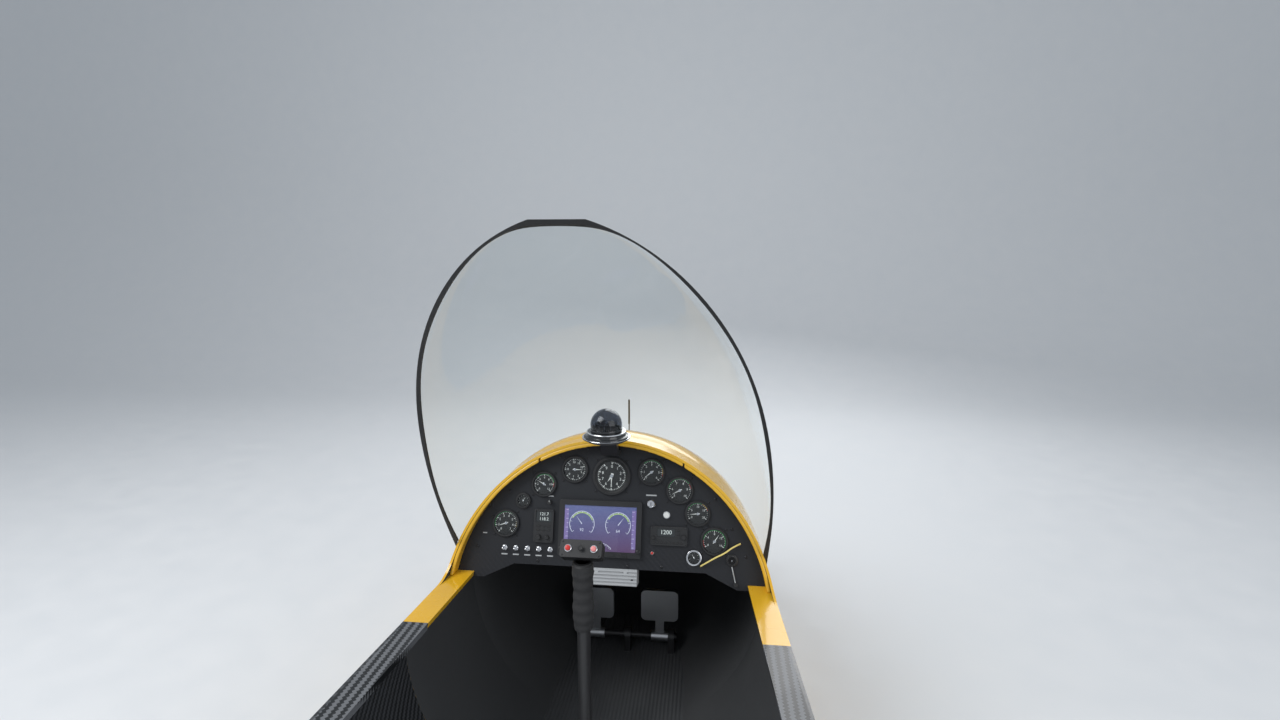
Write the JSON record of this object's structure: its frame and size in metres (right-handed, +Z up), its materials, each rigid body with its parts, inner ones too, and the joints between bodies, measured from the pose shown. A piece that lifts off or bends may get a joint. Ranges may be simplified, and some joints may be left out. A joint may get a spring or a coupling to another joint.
{
  "type": "front cockpit pod of a gyrocopter",
  "caption": "Yellow and carbon front cockpit pod of a two-seat gyrocopter: instrument panel, compass, blown windscreen, control stick and rudder pedals.",
  "frame": {"origin": "Centre of the four keel bolts, on the underside of the keel plate.", "axes": "+X to the pilot's right, +Y to the nose, +Z up."},
  "size_m": [0.75, 1.445, 1.127],
  "materials": {
    "yellow_gelcoat": "polished gelcoat",
    "carbon_laminate": "clear-coated twill",
    "panel_laminate": "satin twill",
    "floor_paint": "textured paint",
    "aluminium": "machined",
    "black_bezel": "moulded",
    "switch_metal": "plated",
    "white_plastic": "moulded",
    "red_plastic": "moulded",
    "grey_plastic": "moulded ribs",
    "dome_plastic": "moulded clear shell",
    "card_paint": "printed marks",
    "screen_glass": "clear blown sheet",
    "edge_rubber": "extruded",
    "black_paint": "satin paint",
    "bright_steel": "brushed",
    "grip_foam": "moulded grip",
    "cord_fibre": "braided"
  },
  "bodies": {
    "pod": {"nose_shell": "yellow_gelcoat", "aft_shell": "carbon_laminate", "aft_frame": "carbon_laminate", "rim_left": "yellow_gelcoat", "rim_top": "yellow_gelcoat", "rim_right": "yellow_gelcoat", "sill_left": "yellow_gelcoat", "sill_right": "yellow_gelcoat", "carbon_sill_left": "carbon_laminate", "carbon_sill_right": "carbon_laminate", "floor_board": "floor_paint", "keel_plate": "aluminium", "panel": "panel_laminate", "gauge_centre": "black_bezel", "gauges_standard": "black_bezel", "gauges_small": "black_bezel", "display": "black_bezel", "radio": "black_bezel", "transponder": "black_bezel", "dimmer_knob": "black_bezel", "key_switch": "switch_metal", "push_button": "white_plastic", "warning_lamp": "red_plastic", "power_socket": "black_bezel", "switch_row": "switch_metal", "relay_box": "grey_plastic", "compass_bracket": "black_paint", "compass_base": "bright_steel", "compass_dome": "dome_plastic", "compass_card": "card_paint", "windscreen": "screen_glass", "windscreen_trim": "edge_rubber", "nose_mast": "black_paint", "pitot_tube": "aluminium", "stick_bracket": "black_paint", "pedal_shaft": "black_paint", "lanyard": "cord_fibre"},
    "roll_yoke": {"roll_yoke": "bright_steel"},
    "stick": {"stick_tube": "black_paint", "stick_grip": "grip_foam", "stick_head": "black_bezel", "head_controls": "red_plastic"},
    "pedal_left": {"pedal_left": "aluminium"},
    "pedal_right": {"pedal_right": "aluminium"}
  },
  "joints": [
    {"name": "stick_roll", "type": "hinge", "parent": "pod", "child": "roll_yoke", "pos_m": [0, -0.3, 0.084], "axis": [0, 1, 0], "range_deg": [-10, 10]},
    {"name": "stick_pitch", "type": "hinge", "parent": "roll_yoke", "child": "stick", "pos_m": [0, -0.3, 0.112], "axis": [1, 0, 0], "range_deg": [-15, 15]},
    {"name": "pedal_left_swing", "type": "hinge", "parent": "pod", "child": "pedal_left", "pos_m": [0, 0.28, 0.084], "axis": [1, 0, 0], "range_deg": [-18, 18]},
    {"name": "pedal_right_swing", "type": "hinge", "parent": "pod", "child": "pedal_right", "pos_m": [0, 0.28, 0.084], "axis": [1, 0, 0], "range_deg": [-18, 18]}
  ],
  "couplings": [
    {"joint": "pedal_right_swing", "follows": "pedal_left_swing", "ratio": -1}
  ]
}
